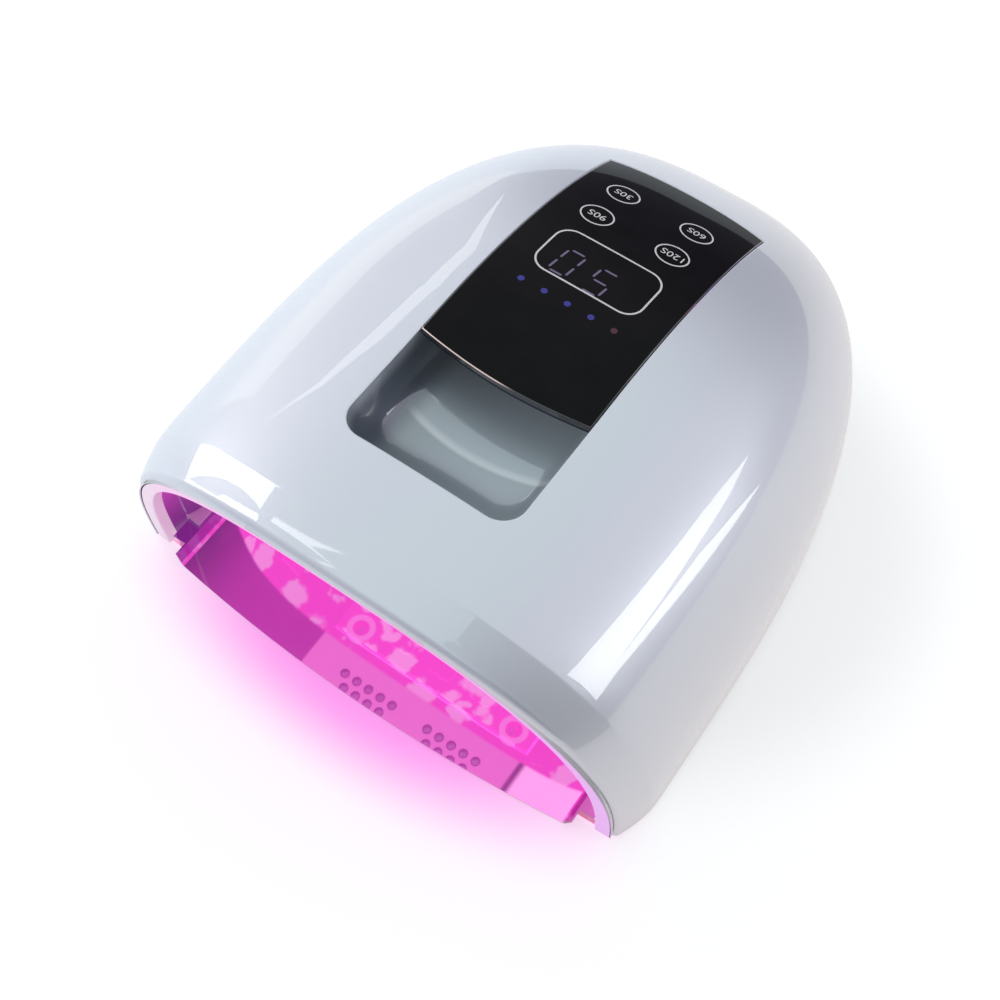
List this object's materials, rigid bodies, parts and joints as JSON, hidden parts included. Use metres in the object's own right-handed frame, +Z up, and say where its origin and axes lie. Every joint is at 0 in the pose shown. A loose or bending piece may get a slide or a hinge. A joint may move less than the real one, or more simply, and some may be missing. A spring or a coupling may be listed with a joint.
{
  "type": "uv led nail lamp",
  "caption": "Domed cordless UV LED nail curing lamp with a hand cavity, mirror base tray, black touch panel and a finger pocket for carrying.",
  "frame": {"origin": "on the ground at the centre of the footprint", "axes": "+Z up, the hand opening faces -Y, +X to the right as seen from the front"},
  "size_m": [0.2028, 0.2526, 0.0996],
  "materials": {
    "pearl_shell": "pearl gloss",
    "bezel_white": "satin",
    "liner_white": "semi-gloss",
    "frame_white": "fine texture",
    "mirror_steel": "mirror polished stainless steel",
    "magnet_nickel": "nickel plated",
    "screw_steel": "zinc plated",
    "rubber_grey": "matte",
    "black_acrylic": "high gloss",
    "black_plastic": "matte",
    "board_green": "solder mask",
    "board_white": "white solder mask",
    "display_module": "matte",
    "led_blue": "lit lens",
    "led_red": "lit lens",
    "foam_grey": "foam",
    "led_bead": "lit lens",
    "clear_cover": "clear moulding",
    "sensor_dark": "tinted lens",
    "component_mix": "mixed components",
    "fan_black": "moulded",
    "cell_wrap": "shrink wrap",
    "button_grey": "gloss"
  },
  "bodies": {
    "housing": {"upper_shell": "pearl_shell", "front_bezel": "bezel_white", "inner_liner": "liner_white", "base_frame": "frame_white", "tray_magnets": "magnet_nickel", "rubber_feet": "rubber_grey", "base_screws": "screw_steel", "touch_panel": "black_acrylic", "panel_carrier": "black_plastic", "touch_board": "board_green", "digit_display": "display_module", "level_leds_blue": "led_blue", "level_led_red": "led_red", "touch_pads": "foam_grey", "led_board_centre": "board_white", "led_board_left": "board_white", "led_board_right": "board_white", "led_beads_centre": "led_bead", "led_beads_left": "led_bead", "led_beads_right": "led_bead", "lens_cover_centre": "clear_cover", "lens_cover_left": "clear_cover", "lens_cover_right": "clear_cover", "lens_screws": "screw_steel", "hand_sensors": "sensor_dark", "main_board": "board_green", "main_board_parts": "component_mix", "battery_cells": "cell_wrap", "battery_cradle": "black_plastic", "dc_jack": "black_plastic", "power_switch": "black_plastic", "fan_frame": "fan_black"},
    "tray": {"base_tray": "mirror_steel"},
    "button": {"power_button": "button_grey"},
    "rotor": {"fan_rotor": "fan_black"}
  },
  "joints": [
    {"name": "tray_slide", "type": "slide", "parent": "housing", "child": "tray", "axis": [0, -1, 0], "range_m": [0, 0.2]},
    {"name": "power_press", "type": "slide", "parent": "housing", "child": "button", "axis": [0, -1, 0], "range_m": [0, 0.0012], "stiffness_N_per_m": 400},
    {"name": "fan_spin", "type": "hinge", "parent": "housing", "child": "rotor", "pos_m": [-0.0482, -0.0318, 0.08], "axis": [0, 0, 1], "continuous": true}
  ]
}
